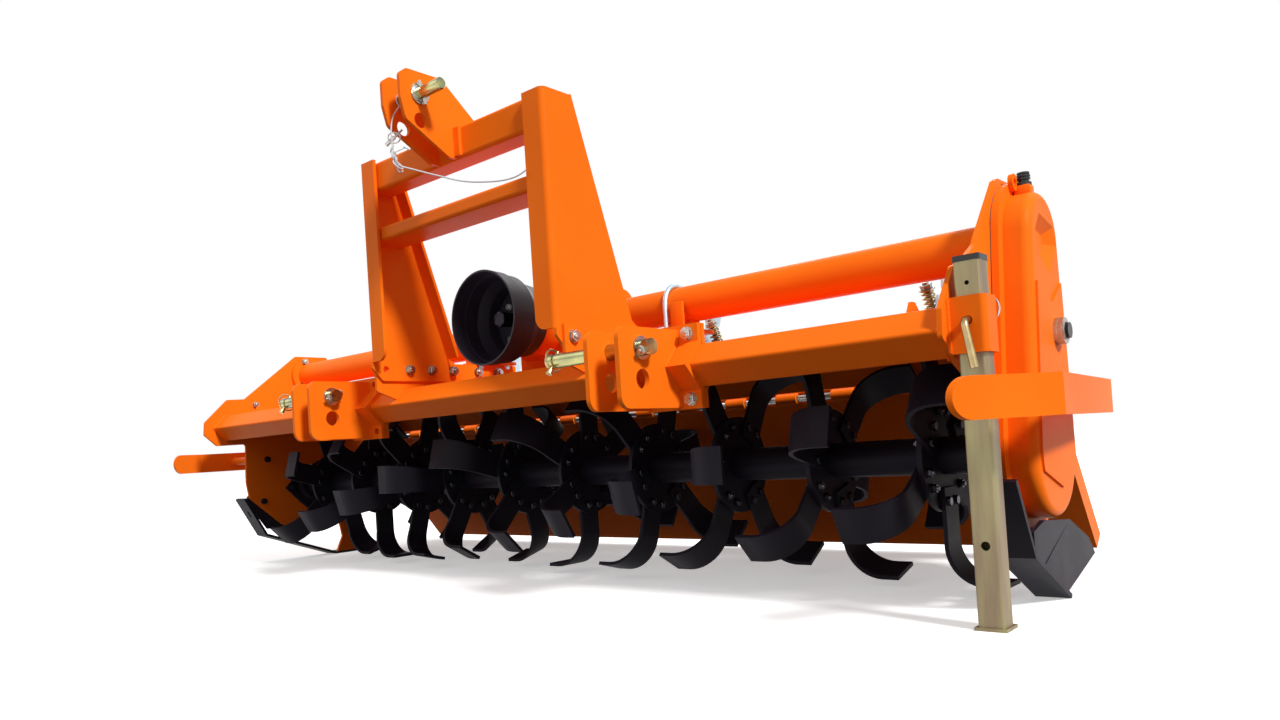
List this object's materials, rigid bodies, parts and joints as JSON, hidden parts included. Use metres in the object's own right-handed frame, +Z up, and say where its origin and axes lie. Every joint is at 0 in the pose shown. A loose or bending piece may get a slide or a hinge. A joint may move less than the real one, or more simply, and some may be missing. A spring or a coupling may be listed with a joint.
{
  "type": "rotary tiller",
  "caption": "Rear-mounted rotary tiller: tined rotor under a hood with a hinged tailboard, three-point A-frame, side gear case, skids and a parking leg.",
  "frame": {"origin": "on the floor, in the middle of the machine's width and length", "axes": "+X along the rotor towards the gear case, -Y to the front where the tractor is, +Z up"},
  "size_m": [2.666, 1.0836, 1.136],
  "materials": {
    "orange_paint": "semi-gloss orange paint",
    "black_paint": "satin black paint",
    "shield_plastic": "dark grey plastic",
    "black_plastic": "black plastic",
    "bright_steel": "machined steel",
    "zinc": "bright zinc plating",
    "yellow_zinc": "yellow zinc plating",
    "gasket": "thin gasket"
  },
  "bodies": {
    "frame": {"front_beam": "orange_paint", "side_plate_plain": "orange_paint", "side_plate_gear": "orange_paint", "gearbox": "orange_paint", "axle_tube_plain": "orange_paint", "axle_tube_gear": "orange_paint", "hood": "orange_paint", "upright_plain": "orange_paint", "upright_gear": "orange_paint", "mount_plate_plain": "orange_paint", "mount_plate_gear": "orange_paint", "top_rail": "orange_paint", "low_rail": "orange_paint", "top_link_lug_plain": "orange_paint", "top_link_lug_gear": "orange_paint", "clevis_plain": "orange_paint", "clevis_gear": "orange_paint", "clamp_plate_plain": "orange_paint", "clamp_plate_gear": "orange_paint", "gear_case_cover": "orange_paint", "guard_bar_plain": "orange_paint", "guard_bar_gear": "orange_paint", "leg_sleeve": "orange_paint", "skid_strut": "orange_paint", "skid_plain": "black_paint", "skid_gear": "black_paint", "bearing_housing_plain": "black_paint", "bearing_housing_gear": "black_paint", "pto_shield": "shield_plastic", "top_link_pin": "zinc", "lower_link_pin_plain": "zinc", "lower_link_pin_gear": "zinc", "gear_case_gasket": "gasket", "oil_filler": "black_plastic", "level_plug": "zinc", "hinge_rod": "zinc", "rod_brackets": "zinc"},
    "tined_reel": {"tined_reel": "black_paint"},
    "pto_shaft": {"pto_shaft": "bright_steel"},
    "tailboard": {"tailboard": "orange_paint"},
    "parking_leg": {"parking_leg": "yellow_zinc", "leg_cap": "black_plastic"},
    "rod_1": {"tailboard_rod_1": "zinc", "rod_spring_1": "yellow_zinc"},
    "rod_2": {"tailboard_rod_2": "zinc", "rod_spring_2": "yellow_zinc"},
    "rod_3": {"tailboard_rod_3": "zinc", "rod_spring_3": "yellow_zinc"},
    "rod_4": {"tailboard_rod_4": "zinc", "rod_spring_4": "yellow_zinc"}
  },
  "joints": [
    {"name": "reel_spin", "type": "hinge", "parent": "frame", "child": "tined_reel", "pos_m": [0, -0.0268, 0.255], "axis": [1, 0, 0], "continuous": true},
    {"name": "pto_spin", "type": "hinge", "parent": "frame", "child": "pto_shaft", "pos_m": [0.116, -0.2268, 0.625], "axis": [0, -1, 0], "continuous": true},
    {"name": "tailboard_swing", "type": "hinge", "parent": "frame", "child": "tailboard", "pos_m": [0, 0.2132, 0.397], "axis": [1, 0, 0], "range_deg": [0, 38]},
    {"name": "leg_slide", "type": "slide", "parent": "frame", "child": "parking_leg", "axis": [0, 0, 1], "range_m": [0, 0.338]},
    {"name": "rod_1_swing", "type": "hinge", "parent": "tailboard", "child": "rod_1", "pos_m": [-0.945, 0.34132, 0.30695], "axis": [1, 0, 0], "range_deg": [-16, 0]},
    {"name": "rod_2_swing", "type": "hinge", "parent": "tailboard", "child": "rod_2", "pos_m": [-0.395, 0.34132, 0.30695], "axis": [1, 0, 0], "range_deg": [-16, 0]},
    {"name": "rod_3_swing", "type": "hinge", "parent": "tailboard", "child": "rod_3", "pos_m": [0.395, 0.34132, 0.30695], "axis": [1, 0, 0], "range_deg": [-16, 0]},
    {"name": "rod_4_swing", "type": "hinge", "parent": "tailboard", "child": "rod_4", "pos_m": [0.945, 0.34132, 0.30695], "axis": [1, 0, 0], "range_deg": [-16, 0]}
  ],
  "couplings": [
    {"joint": "pto_spin", "follows": "reel_spin", "ratio": 2.5},
    {"joint": "rod_1_swing", "follows": "tailboard_swing", "ratio": -0.347},
    {"joint": "rod_2_swing", "follows": "tailboard_swing", "ratio": -0.347},
    {"joint": "rod_3_swing", "follows": "tailboard_swing", "ratio": -0.347},
    {"joint": "rod_4_swing", "follows": "tailboard_swing", "ratio": -0.347}
  ]
}
